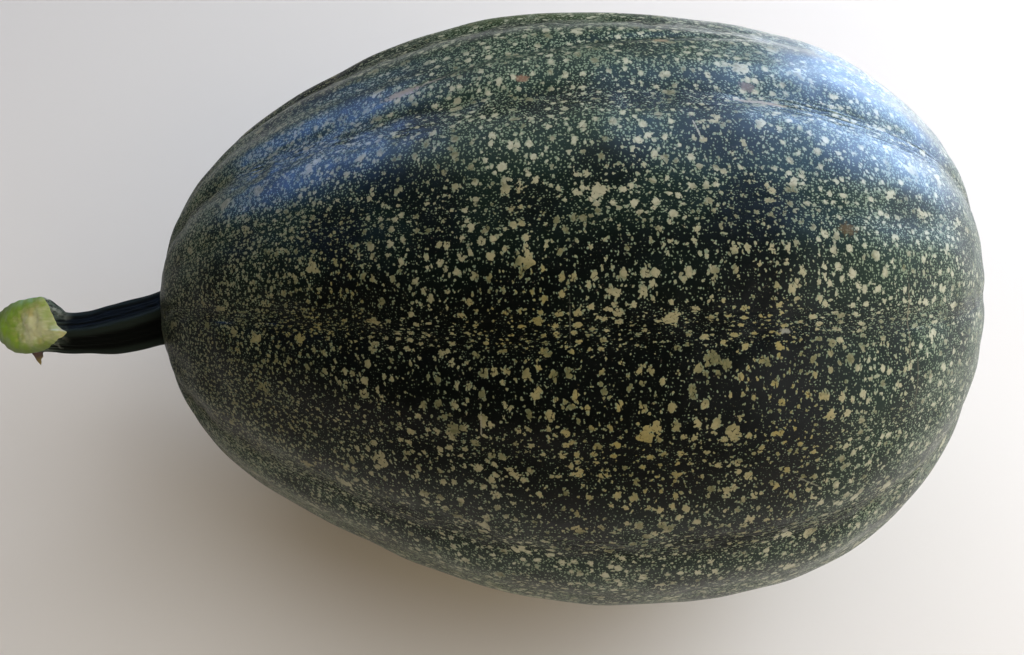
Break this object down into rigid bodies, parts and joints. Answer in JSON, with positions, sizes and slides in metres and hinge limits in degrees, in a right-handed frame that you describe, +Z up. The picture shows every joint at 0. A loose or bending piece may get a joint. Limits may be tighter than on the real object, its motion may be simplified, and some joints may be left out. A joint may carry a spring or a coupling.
{
  "type": "kabocha squash",
  "caption": "Whole egg-shaped dark green squash, pale speckled and faintly lobed, lying on its side with its ridged stem cut at a slant.",
  "frame": {"origin": "middle of the small flat on the belly that the squash rests on", "axes": "+Z up, +X from the stem to the blossom end, +Y to the back"},
  "size_m": [0.312, 0.1836, 0.176],
  "materials": {
    "fruit_skin": "glossy dark green rind, thickly flecked with cream",
    "stem_skin": "satin blackish green ridged stem, pale green where it is cut"
  },
  "bodies": {
    "root": {"fruit": "fruit_skin", "stem": "stem_skin"}
  },
  "joints": []
}
